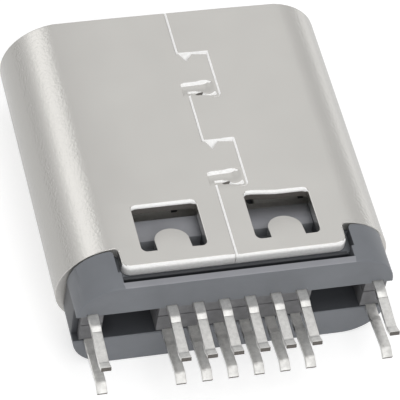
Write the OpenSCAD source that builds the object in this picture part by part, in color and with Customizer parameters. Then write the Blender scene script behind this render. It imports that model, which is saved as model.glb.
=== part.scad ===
// USB-C receptacle for the edge of a circuit board, with sixteen contacts.
// Millimetres. The origin is the centre of the mouth, +Y leaves the mouth and +Z is up.
// Depths are measured from the mouth towards the leads, so a depth d lies at Y = -d.

/* [Shell] */
// Width of the folded metal shell
shell_w = 8.94; // [8.8:0.02:9.2]
// Height of the folded metal shell
shell_h = 3.16; // [3.08:0.02:3.3]
// Depth of the shell's rear edge
shell_len = 8.42; // [8.3:0.02:9]
// Thickness of the sheet that the shell is folded from
sheet_t = 0.3; // [0.2:0.01:0.32]

/* [Seam] */
// Gap between the two edges that meet on the shell's top
seam_gap = 0.04; // [0.03:0.01:0.08]
// How far each locking tab reaches across the seam
tab_reach = 0.83; // [0.4:0.05:1.1]
// Length of each locking tab along the seam
tab_len = 1.5; // [1:0.05:1.6]
// Distance from the last tab's rear edge to the shell's rear edge
tab_back = 2.35; // [2.1:0.05:3]
// Distance from one tab to the next
tab_pitch = 3.07; // [2.8:0.01:3.3]
// Width of the open slit at each tab's front edge
slit_w = 0.12; // [0.06:0.01:0.2]
// Depth of the pressed mark at each tab's end
press_depth = 0.1; // [0.05:0.01:0.15]
// Length of the pressed mark, from its step to the tab's end
press_len = 0.42; // [0.2:0.02:0.5]
// How far the pressed mark reaches past the seam
press_side = 0.1; // [0.04:0.02:0.2]

/* [Windows] */
// Distance between the centres of the two retention windows
window_pitch = 3.02; // [2.8:0.02:3.2]
// Width of each window
window_w = 1.73; // [1.5:0.01:1.9]
// Distance from each window's rear edge to the shell's rear edge
window_back = 0.48; // [0.4:0.02:0.7]
// Length of each window
window_len = 1.5; // [1.4:0.02:1.56]
// Radius of the windows' corners
window_r = 0.16; // [0.05:0.01:0.2]
// Width of the tongue that is bent into each window
catch_w = 0.92; // [0.7:0.02:1.1]
// Length of that tongue
catch_len = 0.78; // [0.6:0.02:0.9]
// Angle that the tongue is bent inwards
catch_angle = 12; // [6:1:14]

/* [Corner cut-outs] */
// Width of each corner cut-out, from the shell's side
corner_w = 1.49; // [1.37:0.01:1.67]
// Length of each corner cut-out, from the shell's rear edge
corner_len = 0.68; // [0.5:0.02:0.8]
// Radius of each cut-out's inner corner
corner_r = 0.12; // [0.06:0.01:0.2]
// Radius of the shell's own corners beside the cut-outs
panel_r = 0.15; // [0.05:0.01:0.3]

/* [Housing] */
// How far the rear flange's sides lie inside the shell's sides
flange_inset = 0.25; // [0.16:0.01:0.32]
// Radius of the flange's upper corners
flange_r = 1.1; // [0.9:0.05:1.4]
// Radius of the flange's lower corners
flange_low_r = 1.1; // [0.9:0.05:1.5]
// Thickness of the lip behind the shell's top edge
lip_t = 0.2; // [0.15:0.01:0.4]
// Width of the groove between that lip and the shell's edge
groove_w = 0.4; // [0.2:0.02:0.5]
// Distance from the wall that ends the plug's space to the shell's rear edge
cavity_back = 1.82; // [1.7:0.02:1.9]
// Height of the slot between the housing's two bars
slot_h = 1.03; // [0.98:0.01:1.1]
// Length of the slot's rear part, where it is open at the flange's sides
slot_open = 0.3; // [0.2:0.02:0.4]
// Clearance between the shell and the plastic
fit = 0.02; // [0.01:0.005:0.03]
// Gap round the housing's corner ears
ear_gap = 0.06; // [0.03:0.01:0.1]
// Gap between each ear's inner side and the shell
ear_side_gap = 0.14; // [0.08:0.01:0.2]

/* [Carriers] */
// Wall between each end of the carriers and the shell's outer side
carrier_wall = 0.51; // [0.46:0.01:0.56]
// How far the carriers' rear blocks end inside the flange's sides
block_inset = 0.16; // [0.1:0.01:0.24]
// Plastic between the leads and the sides of the blocks that hold them
block_margin = 0.17; // [0.1:0.01:0.2]
// Length of the blocks, from the housing's rear face to the web that joins them
block_len = 1.32; // [0.9:0.02:1.4]
// How deep the leads are let into the carriers' faces
lead_sink = 0.02; // [0.01:0.005:0.05]
// Height of the parting line between the two carriers, above the middle
parting = 0.11; // [0.08:0.005:0.2]
// Gap at the parting line
parting_gap = 0.03; // [0.01:0.01:0.05]

/* [Tongue] */
// Width of the tongue's blade
blade_w = 6.69; // [6.6:0.01:6.8]
// Thickness of the blade
blade_t = 0.7; // [0.65:0.01:0.75]
// Depth of the blade's tip
blade_tip = 0.6; // [0.4:0.05:0.8]
// Length of the blade's thicker root
root_len = 1.5; // [1.2:0.05:1.7]
// Width of the root
root_w = 6.9; // [6.8:0.02:7.2]
// Thickness of the root
root_t = 1.3; // [1.2:0.02:1.4]
// Distance from the root's front to the latch notches
latch_back = 1.6; // [1.2:0.1:2]
// Thickness of the middle plate
plate_t = 0.12; // [0.1:0.01:0.15]
// Thickness of the ground springs
spring_t = 0.12; // [0.08:0.01:0.15]
// How far the ground springs stop short of the root's sides
spring_inset = 0.3; // [0.2:0.05:0.5]

/* [Contacts] */
// Distance between neighbouring contact positions on the tongue
contact_pitch = 0.5; // [0.48:0.01:0.5]
// Distance from the middle of the outermost lead to the shell's side
row_inset = 0.675; // [0.65:0.005:0.75]
// Width of a contact on the tongue
contact_w = 0.25; // [0.2:0.01:0.28]
// Width of a lead
lead_w = 0.27; // [0.22:0.01:0.3]
// Thickness of the contact strip
strip_t = 0.12; // [0.1:0.01:0.13]
// Straight length of a lead behind the housing
lead_run = 0.5; // [0.4:0.02:0.6]
// Length of the sloping part that grips the board
lead_slope = 0.9; // [0.7:0.02:1]
// Length of the flared tip
lead_tip = 0.25; // [0.2:0.02:0.4]
// Gap between the two rows where they grip the board
grip_gap = 0.74; // [0.6:0.02:0.9]
// Gap between the two rows at their tips
tip_gap = 0.98; // [0.9:0.02:1.1]

/* [Hidden] */
$fn = 96;
cut = 0.2;                                  // how far a cutting solid runs past a face
inner_w = shell_w - 2 * sheet_t;
inner_h = shell_h - 2 * sheet_t;
body_w = inner_w - 2 * fit;
body_h = inner_h - 2 * fit;
shell_r = shell_h / 2;
flange_front = shell_len + ear_gap;
lip_depth = shell_len + groove_w;
rear = lip_depth + lip_t;                   // depth of the housing's rear face
flange_w = shell_w - 2 * flange_inset;
side_wall = rear - slot_open;
corner_in = shell_w / 2 - corner_w;
slot_z = slot_h / 2;
carrier_z = slot_z - fit / 2;
carrier_rear = rear - 0.05;
carrier_half = shell_w / 2 - carrier_wall;  // half width of the carriers inside the housing
block_end = flange_w / 2 - block_inset;     // and where the slot is open
web_depth = rear - block_len;
lead_pitch = (shell_w / 2 - row_inset) / 5.5;
block_half = 2.5 * lead_pitch + lead_w / 2 + block_margin;      // half width of the middle block
outer_block = 5.5 * lead_pitch - lead_w / 2 - block_margin;     // inner side of the outer blocks
body_end = shell_len + 0.1;
cavity_len = shell_len - cavity_back;       // depth of the wall that ends the plug's space
root_depth = cavity_len - root_len;
first_tab = shell_len - tab_back - tab_len - tab_pitch;
corner_depth = shell_len - corner_len;
window_end = shell_len - window_back;
window_front = window_end - window_len;
pocket_end = window_end + 0.15;
pocket_w = window_w + 0.1;
ledge_end = window_end - catch_len + 0.1;   // depth at which the ledge under the tongue ends
ledge_z = inner_h / 2 - (catch_len - 0.05) * sin(catch_angle) - 0.06;
pocket_z = slot_z + strip_t + 0.12;
groove_z = body_h / 2 - 0.16;
plate_end = web_depth - 0.3;
plate_tip = blade_tip + 0.35;
blade_z = blade_t / 2 - strip_t / 2;        // middle of a contact on the blade
lead_z = carrier_z + strip_t / 2 - lead_sink;   // middle of a lead's straight run
contact_tip = blade_tip + 0.3;
jog_start = cavity_len + 0.35;
jog_end = jog_start + 0.35;
fan_end = jog_end + 1;
slope_start = rear + lead_run;
slope_end = slope_start + lead_slope;
lead_end = slope_end + lead_tip;
POSITIONS = [1, 4, 5, 6, 7, 8, 9, 12];      // the contact positions that are fitted

// A slot shape with full-round ends
module racetrack(w, h) {
    square([w - h, h], center = true);
    for (s = [-1, 1]) translate([s * (w - h) / 2, 0]) circle(d = h);
}

// A rectangle with round corners
module rounded(w, h, r) {
    square([w - 2 * r, h], center = true);
    square([w, h - 2 * r], center = true);
    for (x = [-1, 1], y = [-1, 1]) translate([x * (w / 2 - r), y * (h / 2 - r)]) circle(r);
}

// A section in X and Z, run from one depth to another
module run(from, to) translate([0, -from, 0]) rotate([90, 0, 0]) linear_extrude(to - from) children();

// A plan in X and Y, raised from one height to another
module rise(from, to) translate([0, 0, from]) linear_extrude(to - from) children();

// A rectangle in plan, between two sides and two depths
module patch(x1, x2, d1, d2) translate([x1, -d2]) square([x2 - x1, d2 - d1]);

// Both halves of something that is the same on the left and on the right
module both_sides() {
    children();
    mirror([1, 0, 0]) children();
}

// The outline of a strip of width w along a path, with mitred corners
function unit(v) = v / norm(v);
function heading(path, i) = unit(path[i + 1] - path[i]);
function before(path, i) = heading(path, max(i - 1, 0));
function after(path, i) = heading(path, min(i, len(path) - 2));
function left_of(v) = [-v[1], v[0]];
function mitre(path, i) = let(a = before(path, i), b = after(path, i)) (left_of(a) + left_of(b)) / (1 + a * b);
function strip(path, w) = let(last = len(path) - 1) concat(
    [for (i = [0:last]) path[i] + mitre(path, i) * w / 2],
    [for (i = [last:-1:0]) path[i] - mitre(path, i) * w / 2]);

// The seam's two locking tabs, as the path that the gap follows
function tab_path(d) = [[0, -d], [tab_reach, -d], [tab_reach, -d - tab_len], [0, -d - tab_len]];
seam_path = concat([[0, cut]], tab_path(first_tab), tab_path(first_tab + tab_pitch), [[0, -shell_len - cut]]);

// The gap through the top wall, and the open slits at the tabs' front edges
module seam() {
    rise(inner_h / 2 - cut, shell_r + cut) {
        polygon(strip(seam_path, seam_gap));
        for (d = [first_tab, first_tab + tab_pitch]) {
            patch(seam_gap, tab_reach, d, d + slit_w);
            polygon([[0, -d], [tab_reach / 2, -d], [tab_reach / 4, -d - slit_w * 2.5]]);
        }
    }
    for (d = [first_tab, first_tab + tab_pitch]) press_mark(d + tab_len);
}

// The pressed mark at a tab's end: a step, then a floor that rises to the seam
module press_mark(end) translate([-press_side, 0, 0]) rotate([90, 0, 90]) linear_extrude(tab_reach + press_side)
    polygon([[-end + press_len, shell_r + cut], [-end + press_len, shell_r],
        [-end + press_len - press_depth, shell_r - press_depth], [-end, shell_r - press_depth / 3],
        [-end, shell_r + cut]]);

// A retention window's opening in plan
module window_shape() translate([window_pitch / 2, -(window_front + window_end) / 2])
    rounded(window_w, window_len, window_r);

// The round-nosed tongue that is bent down into a window
module catch_tongue() translate([window_pitch / 2, -window_end, shell_r]) rotate([-catch_angle, 0, 0])
    rise(-sheet_t, 0) {
        translate([-catch_w / 2, 0]) square([catch_w, catch_len - catch_w / 2]);
        intersection() {
            translate([0, catch_len - catch_w / 2]) circle(d = catch_w);
            translate([-catch_w / 2, 0]) square([catch_w, catch_len]);
        }
    }

// A corner cut-out in plan, less a gap at its front and another at its inner side
module corner_shape(gap, side_gap, to) {
    inner = corner_in + side_gap;
    front = corner_depth + gap;
    patch(inner + corner_r, shell_w / 2 + cut, front, to);
    patch(inner, shell_w / 2 + cut, front + corner_r, to);
    translate([inner + corner_r, -front - corner_r]) circle(corner_r);
}

// What is taken off the shell's own corner beside a cut-out
module panel_corner() difference() {
    patch(corner_in - panel_r, corner_in + cut, shell_len - panel_r, shell_len + cut);
    translate([corner_in - panel_r, panel_r - shell_len]) circle(panel_r);
}

module shell() color("silver") {
    difference() {
        run(0, shell_len) racetrack(shell_w, shell_h);
        run(-cut, shell_len + cut) racetrack(inner_w, inner_h);
        both_sides() rise(inner_h / 2 - cut, shell_r + cut) window_shape();
        both_sides() rise(-shell_r - cut, shell_r + cut) {
            corner_shape(0, 0, shell_len + cut);
            panel_corner();
        }
        seam();
    }
    both_sides() catch_tongue();
}

// The lead row and its contact, as a flat strip bent in profile
function profile(side) = [[-contact_tip, side * blade_z], [-jog_start, side * blade_z],
    [-jog_end, side * lead_z], [-slope_start, side * lead_z],
    [-slope_end, side * (grip_gap + strip_t) / 2], [-lead_end, side * (tip_gap + strip_t) / 2]];

// Position n of twelve, where side is 1 in the upper row and -1 in the lower
module contact(n, side) {
    place = -side * (n - 6.5);
    on_blade = place * contact_pitch;
    at_rear = place * lead_pitch;
    color("gainsboro") intersection() {
        rise(-shell_r, shell_r) polygon([
            [on_blade - contact_w / 2, -contact_tip], [on_blade + contact_w / 2, -contact_tip],
            [on_blade + contact_w / 2, -jog_end], [at_rear + lead_w / 2, -fan_end],
            [at_rear + lead_w / 2, -lead_end - cut], [at_rear - lead_w / 2, -lead_end - cut],
            [at_rear - lead_w / 2, -fan_end], [on_blade - contact_w / 2, -jog_end]]);
        rotate([90, 0, 90]) translate([0, 0, -shell_w / 2]) linear_extrude(shell_w)
            polygon(strip(profile(side), strip_t));
    }
}

module contacts(side) for (n = POSITIONS) contact(n, side);

// Rear blocks of a carrier in plan: one in the middle and one at each side
module blocks(from, to) {
    patch(-block_half, block_half, from, to);
    both_sides() patch(outer_block, carrier_half, from, to);
    both_sides() patch(outer_block, block_end, side_wall + ear_gap / 2, to);
}

module upper_carrier() color("dimgray") difference() {
    union() {
        rise(plate_t / 2, carrier_z) patch(-carrier_half, carrier_half, cavity_len, plate_end);
        rise(parting + parting_gap / 2, carrier_z) {
            patch(-carrier_half, carrier_half, plate_end, web_depth);
            blocks(web_depth, carrier_rear);
        }
    }
    contacts(1);
}

module lower_carrier() color("dimgray") difference() {
    union() {
        rise(-carrier_z, -plate_t / 2) patch(-carrier_half, carrier_half, cavity_len, plate_end);
        rise(-carrier_z, parting - parting_gap / 2) {
            patch(-carrier_half, carrier_half, plate_end, web_depth);
            blocks(web_depth, carrier_rear);
        }
    }
    contacts(-1);
}

// Pockets in the housing's top: a ledge under each bent tongue, then a deeper space behind it
module pockets() both_sides() {
    rise(ledge_z, shell_r) patch(window_pitch / 2 - pocket_w / 2, window_pitch / 2 + pocket_w / 2,
        cavity_len - cut, pocket_end);
    rise(pocket_z, shell_r) patch(window_pitch / 2 - pocket_w / 2, window_pitch / 2 + pocket_w / 2,
        ledge_end, pocket_end);
}

// The rear flange's outline
module flange_shape() {
    side_top = shell_r - flange_r;
    side_bottom = flange_low_r - shell_r;
    translate([-flange_w / 2, side_bottom]) square([flange_w, side_top - side_bottom]);
    translate([-flange_w / 2 + flange_r, 0]) square([flange_w - 2 * flange_r, shell_r]);
    translate([-flange_w / 2 + flange_low_r, -shell_r]) square([flange_w - 2 * flange_low_r, shell_r]);
    for (s = [-1, 1]) {
        translate([s * (flange_w / 2 - flange_r), side_top]) circle(flange_r);
        translate([s * (flange_w / 2 - flange_low_r), side_bottom]) circle(flange_low_r);
    }
}

module housing() color("slategray") difference() {
    union() {
        run(cavity_len, body_end) racetrack(body_w, body_h);
        difference() {
            run(flange_front, rear) flange_shape();
            rise(groove_z, shell_r + cut) patch(-corner_in - ear_gap, corner_in + ear_gap, shell_len, lip_depth);
        }
        intersection() {
            run(corner_depth, lip_depth) flange_shape();
            both_sides() rise(-shell_r, shell_r) corner_shape(ear_gap, ear_side_gap, lip_depth);
        }
    }
    rise(-slot_z, slot_z) {
        patch(-carrier_half - fit, carrier_half + fit, cavity_len - cut, rear + cut);
        patch(-flange_w, flange_w, side_wall, rear + cut);
    }
    pockets();
    contacts(1);
    contacts(-1);
}

// The notch in the blade's sides that the plug's latches drop into
module latch_notches() both_sides() translate([blade_w / 2, latch_back - root_depth]) circle(0.35);

module mid_plate() color("lightsteelblue") rise(-plate_t / 2, plate_t / 2) difference() {
    union() {
        patch(-blade_w / 2, blade_w / 2, plate_tip, root_depth);
        patch(-blade_w / 2 + 0.4, blade_w / 2 - 0.4, root_depth, plate_end);
    }
    latch_notches();
    for (x = [-1, 0, 1]) translate([x * blade_w / 4, latch_back + 0.6 - root_depth]) circle(0.4);
}

module tongue() color("darkslategray") difference() {
    union() {
        rise(-blade_t / 2, blade_t / 2) difference() {
            translate([0, -(blade_tip + root_depth + 1) / 2])
                rounded(blade_w, root_depth + 1 - blade_tip, 0.25);
            latch_notches();
        }
        run(root_depth, cavity_len) rounded(root_w, root_t, 0.3);
    }
    mid_plate();
    contacts(1);
    contacts(-1);
}

// A folded ground plate on the tongue's root, with a lip over the root's front edge
module ground_spring(side) color("lightgray") mirror([0, 0, side < 0 ? 1 : 0]) {
    difference() {
        rotate([90, 0, 90]) translate([0, 0, spring_inset - root_w / 2]) linear_extrude(root_w - 2 * spring_inset)
            polygon([[-cavity_len, root_t / 2], [-root_depth, root_t / 2], [-root_depth, blade_t / 2],
                [-root_depth + spring_t, blade_t / 2], [-root_depth + spring_t, root_t / 2 + spring_t],
                [-cavity_len, root_t / 2 + spring_t]]);
        for (x = [-1, 1]) rise(root_t / 2 - cut, root_t) translate([x * root_w / 4, -root_depth - 0.75])
            rounded(1.6, 0.7, 0.1);
    }
    for (x = [-1, 1]) translate([x * root_w / 4, -root_depth - 1.1, root_t / 2]) rotate([8, 0, 0])
        rise(0, spring_t) translate([-0.6, 0]) square([1.2, 0.6]);
}

module upper_ground_spring() ground_spring(1);
module lower_ground_spring() ground_spring(-1);

shell();
housing();
upper_carrier();
lower_carrier();
tongue();
mid_plate();
upper_ground_spring();
lower_ground_spring();
for (n = POSITIONS) {
    contact(n, 1);
    contact(n, -1);
}
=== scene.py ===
"""A connector socket for a circuit board's edge: folded metal shell, moulded housing and bent leads."""

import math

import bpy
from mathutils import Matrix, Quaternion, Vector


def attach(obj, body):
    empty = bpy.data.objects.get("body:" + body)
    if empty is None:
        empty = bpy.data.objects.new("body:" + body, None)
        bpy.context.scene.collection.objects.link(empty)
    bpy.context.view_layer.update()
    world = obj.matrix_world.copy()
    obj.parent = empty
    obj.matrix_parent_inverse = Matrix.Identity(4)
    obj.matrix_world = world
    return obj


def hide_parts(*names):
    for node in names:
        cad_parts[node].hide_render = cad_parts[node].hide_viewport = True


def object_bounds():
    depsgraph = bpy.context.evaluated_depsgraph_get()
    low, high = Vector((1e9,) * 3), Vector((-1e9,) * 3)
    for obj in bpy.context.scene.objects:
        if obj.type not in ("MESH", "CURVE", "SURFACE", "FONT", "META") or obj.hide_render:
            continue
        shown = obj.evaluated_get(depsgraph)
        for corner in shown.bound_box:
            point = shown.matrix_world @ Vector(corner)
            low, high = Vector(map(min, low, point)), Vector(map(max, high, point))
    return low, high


bl_info = {
    "name": "Board-Edge Socket",
    "version": (1, 0, 0),
    "blender": (4, 5, 0),
    "location": "View3D > Sidebar > Socket",
    "description": "Builds a board-edge connector socket, its finishes and a small studio",
    "category": "Object",
}

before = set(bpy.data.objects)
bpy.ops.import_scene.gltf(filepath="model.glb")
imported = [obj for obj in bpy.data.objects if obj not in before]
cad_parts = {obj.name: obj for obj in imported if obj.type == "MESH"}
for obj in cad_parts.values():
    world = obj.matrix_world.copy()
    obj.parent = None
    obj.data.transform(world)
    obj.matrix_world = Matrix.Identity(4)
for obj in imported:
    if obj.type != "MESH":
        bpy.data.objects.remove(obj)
CAD_BOX = [list(corner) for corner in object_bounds()]
MM = 0.001
POSITIONS = (1, 4, 5, 6, 7, 8, 9, 12)

# Places on the solids, in millimetres: the shell's flats lie at SHELL_TOP, between the folds' axes.
SHELL_TOP = 1.58
FOLD_AXIS = 2.89
TONGUE_CENTRE = 1.51
PANEL_HALF = 2.98
PANEL_END = -8.42
TABS = ((-1.5, -3.02), (-4.57, -6.09))


# Colour and shader nodes

def to_linear(code):
    """Turns an sRGB hex colour into linear red, green and blue."""
    parts = [int(code[i:i + 2], 16) / 255 for i in (0, 2, 4)]
    return tuple(c / 12.92 if c <= 0.04045 else ((c + 0.055) / 1.055) ** 2.4 for c in parts)


def add_node(tree, kind, links=None, **settings):
    """Adds one node, sets its own settings, and sets or links its inputs."""
    node = tree.nodes.new(kind)
    for name, value in settings.items():
        setattr(node, name, value)
    for name, value in (links or {}).items():
        if isinstance(value, bpy.types.NodeSocket):
            tree.links.new(value, node.inputs[name])
        else:
            node.inputs[name].default_value = value
    return node


class FinishSettings(bpy.types.PropertyGroup):
    """Colours and gloss of the socket's finishes."""
    nickel: bpy.props.FloatVectorProperty(
        name="Nickel", description="Satin nickel plate on the shell", subtype="COLOR",
        default=to_linear("D6D4D0"))
    nickel_roughness: bpy.props.FloatProperty(
        name="Nickel Roughness", description="Roughness of the nickel plate", subtype="FACTOR",
        min=0, max=1, default=0.26)
    # Partly painted highlight: this near-white cut-steel colour goes only on the cut faces that look back toward
    # the key lamp, and on the seam's drawn rim.
    sheared_with_highlight: bpy.props.FloatVectorProperty(
        name="Sheared Edge", description="Bright steel where the sheet was cut", subtype="COLOR",
        default=to_linear("FBFAF8"))
    housing: bpy.props.FloatVectorProperty(
        name="Housing", description="Moulded plastic of the housing", subtype="COLOR",
        default=to_linear("6F7277"))
    ledge: bpy.props.FloatVectorProperty(
        name="Ledge", description="Polished ledge under the windows", subtype="COLOR",
        default=to_linear("88898E"))
    # Painted shade: this dark colour darkens the slot, the groove behind the panel and the side walls near the
    # ears.
    core: bpy.props.FloatVectorProperty(
        name="Core", description="Darker plastic inside the slot", subtype="COLOR",
        default=to_linear("44464A"))
    carrier: bpy.props.FloatVectorProperty(
        name="Carriers", description="Moulded plastic of the two carriers", subtype="COLOR",
        default=to_linear("6A6A6C"))
    tongue: bpy.props.FloatVectorProperty(
        name="Tongue", description="Moulded plastic of the tongue", subtype="COLOR",
        default=to_linear("4A4B4E"))
    tin: bpy.props.FloatVectorProperty(
        name="Tin", description="Tin plate on the leads", subtype="COLOR",
        default=to_linear("DEDDDA"))
    # This dark colour is also painted shade on the shell: in the windows' front walls and the tabs' pits.
    cropped: bpy.props.FloatVectorProperty(
        name="Cropped Ends", description="Bare metal where the leads were cropped", subtype="COLOR",
        default=to_linear("66625E"))
    floor: bpy.props.FloatVectorProperty(
        name="Floor", description="Pale studio floor", subtype="COLOR",
        default=to_linear("D4D4D4"))


class SizeSettings(bpy.types.PropertyGroup):
    """Small radii that finish the socket's edges."""
    shell_roll: bpy.props.FloatProperty(
        name="Rolled Edge", description="How far the punch rolled the sheet's back edges over",
        subtype="DISTANCE", unit="LENGTH", min=0, default=0.12 * MM)
    housing_edge: bpy.props.FloatProperty(
        name="Housing Edge", description="Radius of the moulding's outer edges",
        subtype="DISTANCE", unit="LENGTH", min=0, default=0.04 * MM)
    lead_edge: bpy.props.FloatProperty(
        name="Lead Edge", description="Radius of the leads' long edges",
        subtype="DISTANCE", unit="LENGTH", min=0, default=0.015 * MM)
    bend_radius: bpy.props.FloatProperty(
        name="Bend", description="Length over which a lead bends",
        subtype="DISTANCE", unit="LENGTH", min=0, default=0.08 * MM)


# Finishes

def new_material(name):
    """Makes an empty node material and returns it with its tree and a coordinate in millimetres."""
    material = bpy.data.materials.new(name)
    material.use_nodes = True
    tree = material.node_tree
    tree.nodes.clear()
    place = add_node(tree, "ShaderNodeTexCoord").outputs["Object"]
    millimetres = add_node(tree, "ShaderNodeMapping", {"Vector": place, "Scale": (1000, 1000, 1000)})
    return material, tree, millimetres.outputs["Vector"]


def finish_material(tree, **inputs):
    """Closes a material with one principled shader."""
    links = {name.replace("_", " "): value for name, value in inputs.items()}
    shader = add_node(tree, "ShaderNodeBsdfPrincipled", links)
    add_node(tree, "ShaderNodeOutputMaterial", {"Surface": shader.outputs["BSDF"]})


def noise(tree, place, scale, detail, roughness=0.5):
    """Adds a noise texture and returns its value."""
    return add_node(tree, "ShaderNodeTexNoise", {
        "Vector": place, "Scale": scale, "Detail": detail, "Roughness": roughness}).outputs["Fac"]


def tint(tree, factor, first, second):
    """Mixes two colours by a factor; either one is a socket or a linear colour."""
    first, second = (end if isinstance(end, bpy.types.NodeSocket) else [min(c, 1) for c in end] + [1]
                     for end in (first, second))
    return add_node(tree, "ShaderNodeMix", {"Factor": factor, 6: first, 7: second}, data_type="RGBA").outputs[2]


def scaled(colour, gain):
    """Darkens or lightens a linear colour."""
    return [c * gain for c in colour]


def bumps(tree, height, strength, depth):
    """Turns a height into a bumped normal; its depth is in millimetres."""
    return add_node(tree, "ShaderNodeBump", {
        "Height": height, "Strength": strength, "Distance": depth * MM}).outputs["Normal"]


def satin_nickel(finish):
    """Nickel plate over folded steel: satin, with painted shade that greys it down the sides, and orange peel
    round the folds.
    """
    material, tree, place = new_material("satin nickel plate")
    axes = add_node(tree, "ShaderNodeSeparateXYZ", {"Vector": place})
    plate = tint(tree, noise(tree, place, 0.6, 2), scaled(finish.nickel, 0.95), scaled(finish.nickel, 1.05))
    height = add_node(tree, "ShaderNodeMath", {0: axes.outputs["Z"]}, operation="ABSOLUTE")
    # Painted shade: below the flats the plate's colour darkens towards 0.58 of itself down the sides.
    side = add_node(tree, "ShaderNodeMapRange", {
        "Value": height.outputs[0], "From Min": 1.42, "From Max": 0.85, "To Min": 0, "To Max": 1},
        interpolation_type="SMOOTHSTEP")
    reach = add_node(tree, "ShaderNodeMath", {0: axes.outputs["X"]}, operation="ABSOLUTE")
    fold = add_node(tree, "ShaderNodeMapRange", {
        "Value": reach.outputs[0], "From Min": 2.95, "From Max": 3.35, "To Min": 0, "To Max": 1})
    finish_material(
        tree, Base_Color=tint(tree, side.outputs["Result"], plate, scaled(finish.nickel, 0.58)),
        Metallic=1, Roughness=finish.nickel_roughness,
        Normal=bumps(tree, noise(tree, place, 12, 2, 0.6), fold.outputs["Result"], 0.009))
    return material


def sheared_edge(name, colour):
    """The sheet's cut edge: burnished or broken by the punch into fine facets."""
    material, tree, place = new_material(name)
    tear = noise(tree, place, 12, 2)
    finish_material(
        tree, Base_Color=tint(tree, tear, scaled(colour, 0.85), scaled(colour, 1.1)),
        Metallic=0.1, Roughness=0.5, Normal=bumps(tree, tear, 1, 0.015))
    return material


def stamped_steel(finish):
    """Stamped stainless steel, tumbled: duller than the shell, with a fine grey mottle."""
    material, tree, place = new_material("tumbled stainless steel")
    mottle = noise(tree, place, 12, 4)
    finish_material(
        tree, Base_Color=tint(tree, mottle, scaled(finish.nickel, 0.8), finish.nickel),
        Metallic=0.7, Roughness=0.45)
    return material


def moulded(name, colour, roughness=0.5, cloud_scale=1.3, cloudy=0.12):
    """Glass-filled moulding plastic: matt, faintly clouded, with the tool's fine spark texture."""
    material, tree, place = new_material(name)
    cloud, spark = noise(tree, place, cloud_scale, 3), noise(tree, place, 30, 3)
    finish_material(
        tree, Base_Color=tint(tree, cloud, scaled(colour, 1 - cloudy), scaled(colour, 1 + cloudy)),
        Roughness=roughness, Normal=bumps(tree, spark, 0.25, 0.01))
    return material


def lead_finishes(finish):
    """Tin over copper alloy: pale and finely crystalline, burnished at the tips, bare where cropped."""
    finishes = []
    for name, colour, metallic, low, high in (
            ("matt tin plate", finish.tin, 0.68, 0.26, 0.38),
            ("burnished tin plate", finish.tin, 0.3, 0.3, 0.45),
            ("cropped copper alloy", finish.cropped, 0.5, 0.5, 0.7)):
        material, tree, place = new_material(name)
        crystals = noise(tree, place, 9, 3, 0.6)
        rough = add_node(tree, "ShaderNodeMapRange", {"Value": crystals, "To Min": low, "To Max": high})
        finish_material(
            tree, Base_Color=tint(tree, crystals, scaled(colour, 0.7), scaled(colour, 1.3)),
            Metallic=metallic, Roughness=rough.outputs["Result"], Normal=bumps(tree, crystals, 0.3, 0.01))
        finishes.append(material)
    return finishes


# Modelling helpers

def only(piece):
    """Selects one object and makes it active."""
    bpy.ops.object.select_all(action="DESELECT")
    piece.select_set(True)
    bpy.context.view_layer.objects.active = piece


def copy_of(node, name, cuts=()):
    """Copies a node's mesh into a new object and merges its loose triangles into clean faces.

    Each cut is a plane, as an axis and a place in millimetres, that keeps the faces beside it apart.
    """
    piece = bpy.data.objects.new(name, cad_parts[node].data.copy())
    bpy.context.collection.objects.link(piece)
    only(piece)
    bpy.ops.object.mode_set(mode="EDIT")
    bpy.ops.mesh.select_mode(type="EDGE")
    bpy.ops.mesh.select_all(action="SELECT")
    bpy.ops.mesh.remove_doubles(threshold=0.0005 * MM)
    for axis, place in cuts:
        bpy.ops.mesh.select_all(action="SELECT")
        bpy.ops.mesh.bisect(plane_co=Vector(axis) * place * MM, plane_no=axis, threshold=0.001 * MM)
        bpy.ops.mesh.mark_seam()
    bpy.ops.mesh.select_all(action="SELECT")
    bpy.ops.mesh.dissolve_limited(angle_limit=math.radians(0.6), delimit={"SEAM"})
    bpy.ops.object.mode_set(mode="OBJECT")
    piece.data.materials.clear()
    return piece


def soften(piece, width, angle=32, segments=3, share=None, flat=True, smooth=50):
    """Rounds the sharp edges, each by its share of the width, and keeps the wide faces flat."""
    only(piece)
    mesh = piece.data
    shares = mesh.attributes.new("bevel_weight_edge", "FLOAT", "EDGE").data
    faces = {}
    for face in mesh.polygons:
        for key in face.edge_keys:
            faces.setdefault(key, []).append(face)
    for edge in mesh.edges:
        pair = faces.get(edge.key, [])
        if len(pair) == 2 and pair[0].normal.angle(pair[1].normal, 0) > math.radians(angle):
            middle = (mesh.vertices[edge.vertices[0]].co + mesh.vertices[edge.vertices[1]].co) / 2 / MM
            shares[edge.index].value = share(middle, *pair) if share else 1
    bevel = piece.modifiers.new("edges", "BEVEL")
    bevel.width = width
    bevel.segments = segments
    bevel.limit_method = "WEIGHT"
    bevel.use_clamp_overlap = False
    bpy.ops.object.modifier_apply(modifier=bevel.name)
    bpy.ops.object.shade_smooth_by_angle(angle=math.radians(smooth))
    if flat:
        weighted = piece.modifiers.new("flat faces", "WEIGHTED_NORMAL")
        weighted.weight = 100
        weighted.keep_sharp = True
        bpy.ops.object.modifier_apply(modifier=weighted.name)


def ease(t):
    """Eases from 0 to 1."""
    t = min(max(t, 0), 1)
    return t * t * (3 - 2 * t)


def take_place(piece, node):
    """Puts a finished piece in its node's place."""
    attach(piece, "root")
    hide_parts(node)


# Operators

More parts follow.
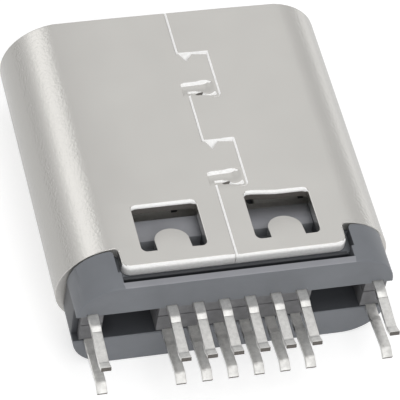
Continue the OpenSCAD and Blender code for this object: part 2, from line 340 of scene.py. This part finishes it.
class SOCKET_OT_stage(bpy.types.Operator):
    """Lays the pale floor and sets the camera, lamps and surroundings."""
    bl_idname = "socket.stage"
    bl_label = "Studio"

    def execute(self, context):
        scene = context.scene
        scene.view_settings.view_transform = "Standard"
        self.floor(scene.socket_finish)
        self.surroundings(scene)
        self.lamps()
        self.camera(scene)
        return {"FINISHED"}

    def floor(self, finish):
        """A pale floor that keeps the shadow, and that lights up only for what looks at it."""
        bpy.ops.mesh.primitive_plane_add(size=0.8, location=(0, 0, CAD_BOX[0][2]))
        floor = bpy.context.active_object
        floor.name = "floor"
        bpy.ops.object.transform_apply(location=True)
        material, tree, _ = new_material("pale matt floor")
        paint = add_node(tree, "ShaderNodeBsdfPrincipled", {
            "Base Color": tuple(finish.floor) + (1,), "Roughness": 0.9, "Specular IOR Level": 0.1})
        glow = add_node(tree, "ShaderNodeEmission", {"Color": (1, 1, 1, 1), "Strength": 0.52})
        both = add_node(tree, "ShaderNodeAddShader", {0: paint.outputs["BSDF"], 1: glow.outputs["Emission"]})
        path = add_node(tree, "ShaderNodeLightPath").outputs
        seen = path["Is Camera Ray"]
        for ray in ("Is Glossy Ray", "Is Transmission Ray"):
            seen = add_node(tree, "ShaderNodeMath", {0: seen, 1: path[ray]}, operation="MAXIMUM").outputs[0]
        mix = add_node(tree, "ShaderNodeMixShader", {0: seen, 1: paint.outputs["BSDF"], 2: both.outputs[0]})
        add_node(tree, "ShaderNodeOutputMaterial", {"Surface": mix.outputs[0]})
        floor.data.materials.append(material)

    def surroundings(self, scene):
        """An even grey room with three soft panels: above the left fold, above the right and low at the left."""
        world = bpy.data.worlds.new("studio")
        world.use_nodes = True
        scene.world = world
        tree = world.node_tree
        tree.nodes.clear()
        direction = add_node(tree, "ShaderNodeTexCoord").outputs["Generated"]
        level = 0.68
        for axis, edge, full, gain in (
                ((-0.51, 0.585, 0.63), 0.935, 0.992, 0.6),
                ((0.35, 0.585, 0.73), 0.88, 0.99, 0.17),
                ((-0.85, 0.5, 0.16), 0.8, 0.97, 0.2)):
            facing = add_node(tree, "ShaderNodeVectorMath", {0: direction, 1: axis}, operation="DOT_PRODUCT")
            panel = add_node(tree, "ShaderNodeMapRange", {
                "Value": facing.outputs["Value"], "From Min": edge, "From Max": full, "To Max": gain},
                interpolation_type="SMOOTHSTEP")
            total = add_node(tree, "ShaderNodeMath", {0: panel.outputs["Result"], 1: level}, operation="ADD")
            level = total.outputs[0]
        glow = add_node(tree, "ShaderNodeBackground", {"Color": (1, 1, 1, 1), "Strength": level})
        add_node(tree, "ShaderNodeOutputWorld", {"Surface": glow.outputs[0]})

    def lamp(self, name, direction, distance, size, radiance):
        """A softbox that faces the socket; its radiance is about what a mirror would show."""
        direction = Vector(direction).normalized()
        centre = Vector((0, -5 * MM, 0))
        bpy.ops.object.light_add(type="AREA", location=centre + direction * distance)
        lamp = bpy.context.active_object
        lamp.name = name
        lamp.rotation_euler = direction.to_track_quat("Z", "Y").to_euler()
        lamp.data.shape = "RECTANGLE"
        lamp.data.size, lamp.data.size_y = size
        lamp.data.energy = radiance * math.pi * size[0] * size[1]

    def lamps(self):
        """One lamp overhead and a brighter one behind the leads."""
        self.lamp("overhead", (0.15, -0.15, 0.97), 90 * MM, (60 * MM, 50 * MM), 1.1)
        self.lamp("key", (0.1, -0.78, 0.6), 90 * MM, (60 * MM, 36 * MM), 3.0)

    def camera(self, scene):
        """A long lens that looks down on the leads from the back left."""
        azimuth, elevation, roll = (math.radians(a) for a in (-21.9, 50.94, 11.03))
        distance, target = 71.3 * MM, Vector((-0.042, -5.313, 0)) * MM
        back = Vector((math.sin(azimuth) * math.cos(elevation), -math.cos(azimuth) * math.cos(elevation),
                       math.sin(elevation)))
        bpy.ops.object.camera_add(location=target + back * distance)
        camera = bpy.context.active_object
        turn = back.to_track_quat("Z", "Y")
        camera.rotation_mode = "QUATERNION"
        camera.rotation_quaternion = turn @ Quaternion((0, 0, 1), roll)
        camera.data.lens = 241.07
        camera.data.sensor_width = 36
        camera.data.clip_start = 1 * MM
        camera.data.clip_end = 10
        scene.camera = camera


class SOCKET_OT_shell(bpy.types.Operator):
    """Gives the folded shell its rolled edges, its pressed tabs and its satin plate."""
    bl_idname = "socket.shell"
    bl_label = "Shell"

    def execute(self, context):
        settings = context.scene.socket_sizes
        finish = context.scene.socket_finish
        # The fourth finish is painted shade: the cropped ends' dark colour, for the windows' front walls and the
        # tabs' pits.
        materials = (
            satin_nickel(finish), sheared_edge("sheared steel edge", finish.sheared_with_highlight), stamped_steel(finish),
            sheared_edge("fractured steel edge", finish.cropped))
        across, along = (1, 0, 0), (0, 1, 0)
        piece = copy_of("shell", "folded_shell", (
            (across, -TONGUE_CENTRE), (across, -0.4), (across, 0.045), (across, 0.875), (across, TONGUE_CENTRE),
            (along, -1.48), (along, -3.02), (along, -4.55), (along, -6.09), (along, -6.26)))
        self.close_seam(piece)
        self.merge_panel(piece)
        soften(piece, settings.shell_roll, segments=6, share=self.roll, smooth=18)
        self.true_surface(piece)
        self.finish(piece, materials)
        take_place(piece, "shell")
        for number, (front, end) in enumerate(TABS, 1):
            # The torn wedge takes only the near-white cut-steel colour, partly a painted highlight.
            self.finish(self.torn_wedge(f"torn_wedge_{number}", front), materials[1:2])
            self.finish(self.pressed_end(f"pressed_end_{number}", end + 0.02), materials)
        return {"FINISHED"}

    def finish(self, piece, materials):
        """Plates the piece. The faces that look back, toward the key lamp, take the near-white cut-steel colour:
        partly the bare steel where the punch cut or dragged them, partly painted highlight.
        """
        sheared_with_highlight, stamped, painted_shade = 1, 2, 3
        for material in materials:
            piece.data.materials.append(material)
        for face in piece.data.polygons:
            x, y, z = face.center / MM
            # Partly painted highlight: cut faces that look back toward the key lamp take the near-white
            # cut-steel colour, unless they lie on the wings.
            if len(materials) > 1 and face.normal.y < -0.3:
                wing = abs(x) > PANEL_HALF - 0.01
                # Painted shade: the lower part of each window's front wall takes the dark colour of the cropped
                # lead ends.
                window_wall_shade = -6.6 < y < -6.3 and abs(z) < 1.49
                face.material_index = stamped if wing else painted_shade if window_wall_shade else sheared_with_highlight
            # Painted highlight: the seam's drawn rim takes the near-white cut-steel colour.
            elif len(materials) > 1 and self.is_painted_highlight_rim(x, z, face.normal):
                face.material_index = sheared_with_highlight
            # Painted shade: the pit in each tab's curl takes the last finish, the dark one.
            if any(self.is_painted_pit_shade(x, y - end, z) for _, end in TABS):
                face.material_index = len(materials) - 1
        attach(piece, "root")

    def is_painted_highlight_rim(self, x, z, normal):
        """The seam's right rim, which slopes down to the left; it takes the near-white cut-steel colour as a
        painted highlight line.
        """
        return -0.1 < x < 0.9 and z > 0 and normal.x < -0.3 and normal.z > 0.5

    def is_painted_pit_shade(self, x, y, z):
        """The small pit in the curl at a tab's end, darkened with painted shade."""
        return z < 1.57 and math.hypot((x - 0.31) / 0.1, (y - 0.09) / 0.04) < 1

    def roll(self, middle, first, second):
        """The punch rolls the outer edges over most where they face the back."""
        wall = min((first, second), key=lambda face: abs(face.normal.z)).normal
        x, y, z = abs(middle.x), middle.y, middle.z
        if math.hypot(max(x - FOLD_AXIS, 0), z) < 1.5:
            return 0.06
        if y > -0.1:
            return 0.4
        if abs(z) < 1.45:
            return 0.12
        if y < -7.7 and x > 2.8:
            return 0.3 + 0.7 * max(0, -wall.y) * (y < -8)
        if z > 0 and (x < 0.9 and y > -6.2 or x < 0.1):
            return 0.06
        if -8.1 < y < -6.3:
            tongue = abs(x - TONGUE_CENTRE) < 0.47 and y < -7.05
            return 0.1 if tongue or z < 1.57 else 0.1 + 0.7 * max(0, -wall.y, -0.35 * wall.x)
        return 0.12 + 0.88 * max(0, -wall.y)

    def ease_corners(self, vertex):
        """Makes room for the roll at the rear panel's corners, and draws the windows' front walls back."""
        growth, corner = 0.65, 0.151
        x, y, z = vertex.co / MM
        if PANEL_HALF - corner < abs(x) < PANEL_HALF + 0.001 and y < PANEL_END + corner:
            vertex.co.x += (abs(x) - PANEL_HALF) * growth * math.copysign(MM, x)
            vertex.co.y += (y - PANEL_END) * growth * MM
        if FOLD_AXIS - 0.001 < abs(x) < PANEL_HALF + 0.005 and y < -7.85 and z > 1.57:
            vertex.co.z = SHELL_TOP * MM
        if -6.6 < y < -6.43 and 0.64 < abs(x) < 2.38:
            vertex.co.y -= 0.07 * MM * ease((y + 6.6) / 0.16)

    def close_seam(self, piece):
        """Brings the seam's two rims together, as the fold leaves them, with the right one drawn down."""
        for vertex in piece.data.vertices:
            x, y, z = vertex.co / MM
            if z < 1.2 or not -0.3 < x < 1:
                self.ease_corners(vertex)
                continue
            if 1.5 < z < 1.56:
                z = 1.42
            drawn = 0
            if 0.018 < x < 0.022:
                x, drawn = -0.012, 0.024
            elif 0.84 < x < 0.855:
                x, drawn = 0.818, 0.022
            for front, end in TABS:
                x, y = self.shape_tab(x, y, front, end)
            if z > 1.57:
                z -= drawn
            vertex.co = Vector((x, y, z)) * MM

    def shape_tab(self, x, y, front, end):
        """Slants a tab's end, widens its pressed recess, and tears the slit at its root to a wedge."""
        if abs(y - end) < 0.002 and -0.018 < x < 0.86:
            y = end + 0.03 - 0.09 * ease(x / 0.8)
        elif end + 0.43 < y < end + 0.46:
            y += 0.07
        if end < y < end + 0.52 and x < -0.09:
            x -= 0.04
        if front - 0.13 < y < front - 0.015 and x < 0.5:
            torn = {0.04: 0.03 if y > front - 0.1 else 0.045, 0.083: 0.06, 0.332: 0.4}
            x = torn.get(round(x, 3), x)
            y = front - (0.07 if x > 0.3 else 0.03)
        return x, y

    def merge_panel(self, piece):
        """Merges the fine facets at the rear panel's corners, so the roll runs round them evenly."""
        only(piece)
        for face in piece.data.polygons:
            x, y, z = face.center / MM
            face.select = 1.6 < abs(x) < 2.975 and y < -7 and abs(z) > 1.57 and abs(face.normal.z) > 0.99
        bpy.ops.object.mode_set(mode="EDIT")
        bpy.ops.mesh.select_mode(type="FACE")
        bpy.ops.mesh.dissolve_limited(angle_limit=math.radians(6), delimit={"SEAM"})
        bpy.ops.object.mode_set(mode="OBJECT")

    def true_surface(self, piece):
        """Shades the flats and the folds by the true curve that they follow, so no facet shows."""
        for vertex in piece.data.vertices:
            vertex.co.z = min(vertex.co.z, SHELL_TOP * MM)
        normals = [corner.vector.copy() for corner in piece.data.corner_normals]
        for face in piece.data.polygons:
            outward = [Vector((p.x - math.copysign(min(abs(p.x), FOLD_AXIS * MM), p.x), 0, p.z))
                       for p in (face.center, *(piece.data.vertices[i].co for i in face.vertices))]
            outside = outward[0].length > (SHELL_TOP - 0.01) * MM
            if outside and face.normal.angle(outward[0]) < math.radians(4):
                for loop, normal in zip(face.loop_indices, outward[1:]):
                    normals[loop] = normal.normalized()
        piece.data.normals_split_custom_set(normals)

    def torn_wedge(self, name, front):
        """The torn steel that shows in the slit and the wedge at a tab's root; its near-white cut-steel colour
        is partly painted highlight.
        """
        bpy.ops.object.select_all(action="DESELECT")
        bpy.ops.mesh.primitive_cube_add(size=1)
        piece = bpy.context.active_object
        piece.name = piece.data.name = name
        for vertex in piece.data.vertices:
            near, top = vertex.co.y > 0, vertex.co.z > 0
            vertex.co = Vector((
                0.86 if vertex.co.x > 0 else 0.0,
                front + 0.04 if near else front - 0.36,
                (1.572 if near else 1.47) if top else 1.34)) * MM
        only(piece)
        bpy.ops.object.mode_set(mode="EDIT")
        bpy.ops.mesh.select_all(action="SELECT")
        bpy.ops.mesh.bevel(offset=0.012 * MM, segments=2)
        bpy.ops.object.mode_set(mode="OBJECT")
        return piece

    def pressed_end(self, name, end):
        """The tab's pressed end, as a thin skin in the recess."""
        bpy.ops.object.select_all(action="DESELECT")
        bpy.ops.mesh.primitive_grid_add(x_subdivisions=90, y_subdivisions=60, size=1)
        piece = bpy.context.active_object
        piece.name = piece.data.name = name
        for vertex in piece.data.vertices:
            t, v = vertex.co.x + 0.5, (vertex.co.y + 0.5) * 0.62 - 0.11
            u = -0.15 + 0.97 * t
            vertex.co = Vector((u, end + v, 1.5795 - self.pressed_depth(t, u, v))) * MM
        only(piece)
        sheet = piece.modifiers.new("sheet", "SOLIDIFY")
        sheet.thickness = 0.06 * MM
        bpy.ops.object.modifier_apply(modifier=sheet.name)
        bpy.ops.object.shade_smooth_by_angle(angle=math.radians(50))
        return piece

    def pressed_depth(self, t, u, v):
        """A curved step that looks back, a floor that rises to the right, and a curled lip at the end.

        t runs from 0 to 1 across the recess; u and v are millimetres from the seam and from the tab's end.
        """
        width = 0.05 * (1 - 0.5 * t) * ease(t / 0.15)
        line = 0.42 + 0.04 * math.exp(-((t - 0.68) / 0.18) ** 2) - 0.04 * ease((t - 0.78) / 0.2)
        step = ease((line + width - v) / (2 * width + 0.001)) * ease((0.97 - t) / 0.3)
        floor = 0.07 * (1 - 0.25 * t) * step * (0.25 + 0.75 * ease(v / 0.3))
        smile = math.sin(math.pi * min(max((u - 0.35) / 0.43, 0), 1))
        curl = 0.15 - 0.05 * ease((u - 0.2) / 0.15) - 0.13 * smile
        lip = 0.05 * ease((curl + 0.03 - v) / 0.06) * ease((v + 0.1) / 0.08)
        lip *= ease((u + 0.02) / 0.06) * ease((0.95 - t) / 0.1)
        rim = ease(t / 0.04) * ease((1 - t) / 0.06) * ease((0.51 - v) / 0.02)
        return (floor + lip) * rim


class SOCKET_OT_mouldings(bpy.types.Operator):
    """Softens the moulded pieces: housing, carriers and tongue."""
    bl_idname = "socket.mouldings"
    bl_label = "Mouldings"

    def execute(self, context):
        settings = context.scene.socket_sizes
        finish = context.scene.socket_finish
        grey = moulded("glass-filled moulding, grey", finish.housing)
        dark = moulded("glass-filled moulding, dark grey", finish.carrier, cloud_scale=5, cloudy=0.35)
        black = moulded("liquid-crystal polymer, black", finish.tongue)
        for node, material, slot, width, share in (
                ("housing", grey, "housing_plastic", settings.housing_edge, self.flange),
                ("upper_carrier", dark, "carrier_plastic", 0.015 * MM, self.block),
                ("lower_carrier", dark, "carrier_plastic", 0.015 * MM, self.block),
                ("tongue", black, "tongue_plastic", 0.03 * MM, self.blade)):
            piece = copy_of(node, "moulded_" + node)
            piece.data.materials.append(material)
            if node == "housing":
                self.split_lip(piece)
            soften(piece, width, share=share)
            if node == "housing":
                self.finish_regions(piece, finish)
            take_place(piece, node)
        return {"FINISHED"}

    def finish_regions(self, piece, finish):
        """Gives the housing its polished ledges, and painted shade in its slot, its groove and its ears' side
        walls.
        """
        piece.data.materials.append(moulded("glass-filled moulding, polished", finish.ledge, roughness=0.35))
        piece.data.materials.append(moulded("glass-filled moulding, shaded core", finish.core))
        for face in piece.data.polygons:
            face.material_index = self.region(face.center / MM, face.normal)

    def split_lip(self, piece):
        """Parts the lip's top and the strip behind the windows from the faces that they continue."""
        only(piece)
        for axis, place in (((1, 0, 0), -3.04), ((1, 0, 0), 3.04), ((0, 1, 0), -8.42)):
            for face in piece.data.polygons:
                face.select = face.normal.z > 0.99 and face.center.z > 1.2 * MM and abs(face.center.x) < 3 * MM
            bpy.ops.object.mode_set(mode="EDIT")
            bpy.ops.mesh.bisect(plane_co=Vector(axis) * place * MM, plane_no=axis, threshold=0.001 * MM)
            bpy.ops.object.mode_set(mode="OBJECT")

    def region(self, place, normal):
        """Tells which of the housing's three colours a face takes: plain, polished, or the dark painted shade.
        """
        plain, polished, shaded = 0, 1, 2
        x, y, z = abs(place.x), place.y, place.z
        ledge = x < 2.6 and y > -8.3 and 0.9 < z < 1.2
        lip = x < 3.05 and y < -8.83 and z > 1.5
        if normal.z > 0.5 and (ledge or lip):
            return polished
        # Painted shade: the slot, the groove behind the panel and the side walls near the ears take the dark
        # colour.
        slot = abs(z) < 0.53 and y > -8.98
        gap_shade = x < 3.2 and abs(z) > 1 and (-8.83 < y < -8.4 and z < 1.5 or abs(normal.x) > 0.9)
        return shaded if slot or gap_shade else plain

    def flange(self, middle, first, second):
        """Rounds the rear face's outline, the slot's rim and the ears."""
        if middle.y < -9:
            return 1
        return 0.6 if abs(middle.z) > 1.1 and middle.y < -7.7 or abs(middle.x) > 4.1 else 0

    def block(self, middle, first, second):
        """Rounds only what shows of a carrier at the back."""
        return 1 if middle.y < -8.9 else 0

    def blade(self, middle, first, second):
        """Rounds the tongue's blade, but not the slots where the contacts lie."""
        return 1 if middle.y > -5 and abs(middle.z) > 0.1 else 0


class SOCKET_OT_contacts(bpy.types.Operator):
    """Rounds each contact's bends and edges and tins it."""
    bl_idname = "socket.contacts"
    bl_label = "Contacts"

    def execute(self, context):
        settings = context.scene.socket_sizes
        finishes = lead_finishes(context.scene.socket_finish)
        for row, side in (("a", 1), ("b", -1)):
            for place in POSITIONS:
                node = f"contact_{row}{place}"
                piece = copy_of(node, "tinned_" + node)
                for material in finishes:
                    piece.data.materials.append(material)
                self.form(piece, side)
                self.round_bends(piece, settings.bend_radius)
                soften(piece, settings.lead_edge, angle=40, flat=False)
                self.finish_tip(piece, side)
                take_place(piece, node)
        return {"FINISHED"}

    def finish_tip(self, piece, side):
        """Bares the cropped end and burnishes the top of an upper lead's tip."""
        plain, burnished, cropped = 0, 1, 2
        for face in piece.data.polygons:
            if face.center.y < -10.45 * MM:
                top = side > 0 and face.normal.z > 0.5
                face.material_index = cropped if face.normal.y < -0.6 else burnished if top else plain

    def form(self, piece, side):
        """Bends the lead down in a short step behind the housing, before its long slope."""
        start, step, end, drop = -9.36, -9.52, -10.42, 0.05
        only(piece)
        bpy.ops.object.mode_set(mode="EDIT")
        for depth in (start, step):
            bpy.ops.mesh.select_all(action="SELECT")
            bpy.ops.mesh.bisect(plane_co=(0, depth * MM, 0), plane_no=(0, 1, 0), threshold=0.001 * MM)
        bpy.ops.object.mode_set(mode="OBJECT")
        for vertex in piece.data.vertices:
            y = vertex.co.y / MM
            if end < y < start:
                share = (start - y) / (start - step) if y > step else (y - end) / (step - end)
                vertex.co.z -= side * drop * share * MM

    def round_bends(self, piece, radius):
        """Rounds the shallow bends across the lead; the sharp long edges come after."""
        mesh = piece.data
        only(piece)
        bpy.ops.object.mode_set(mode="EDIT")
        bpy.ops.mesh.select_mode(type="EDGE")
        bpy.ops.mesh.select_all(action="DESELECT")
        bpy.ops.object.mode_set(mode="OBJECT")
        for edge in mesh.edges:
            ends = [mesh.vertices[i].co for i in edge.vertices]
            if abs(ends[0].x - ends[1].x) > 0.2 * MM and -10.5 * MM < ends[0].y < -9.3 * MM:
                edge.select = True
        bpy.ops.object.mode_set(mode="EDIT")
        bpy.ops.mesh.bevel(offset=radius * 0.5, segments=3)
        bpy.ops.object.mode_set(mode="OBJECT")


class SOCKET_OT_plates(bpy.types.Operator):
    """Finishes the stamped steel plates inside the socket."""
    bl_idname = "socket.plates"
    bl_label = "Plates"

    def execute(self, context):
        steel = stamped_steel(context.scene.socket_finish)
        for node in ("mid_plate", "upper_ground_spring", "lower_ground_spring"):
            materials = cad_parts[node].data.materials
            materials.clear()
            materials.append(steel)
        return {"FINISHED"}


class SOCKET_PT_panel(bpy.types.Panel):
    """Lists the socket's settings and its building steps."""
    bl_idname = "SOCKET_PT_panel"
    bl_label = "Board-Edge Socket"
    bl_space_type = "VIEW_3D"
    bl_region_type = "UI"
    bl_category = "Socket"

    def draw(self, context):
        for group in (context.scene.socket_sizes, context.scene.socket_finish):
            box = self.layout.box()
            for name in group.__annotations__:
                box.prop(group, name)
        for operator in STEPS:
            self.layout.operator(operator.bl_idname)


STEPS = (SOCKET_OT_stage, SOCKET_OT_shell, SOCKET_OT_mouldings, SOCKET_OT_contacts, SOCKET_OT_plates)
CLASSES = (FinishSettings, SizeSettings) + STEPS + (SOCKET_PT_panel,)


def register():
    """Registers the settings, the building steps and the panel."""
    for cls in CLASSES:
        bpy.utils.register_class(cls)
    bpy.types.Scene.socket_finish = bpy.props.PointerProperty(type=FinishSettings)
    bpy.types.Scene.socket_sizes = bpy.props.PointerProperty(type=SizeSettings)


def unregister():
    """Undoes register."""
    del bpy.types.Scene.socket_sizes
    del bpy.types.Scene.socket_finish
    for cls in reversed(CLASSES):
        bpy.utils.unregister_class(cls)


def main():
    """Builds the socket."""
    register()
    for step in STEPS:
        getattr(bpy.ops.socket, step.bl_idname.split(".")[1])()


if __name__ == "__main__":
    main()
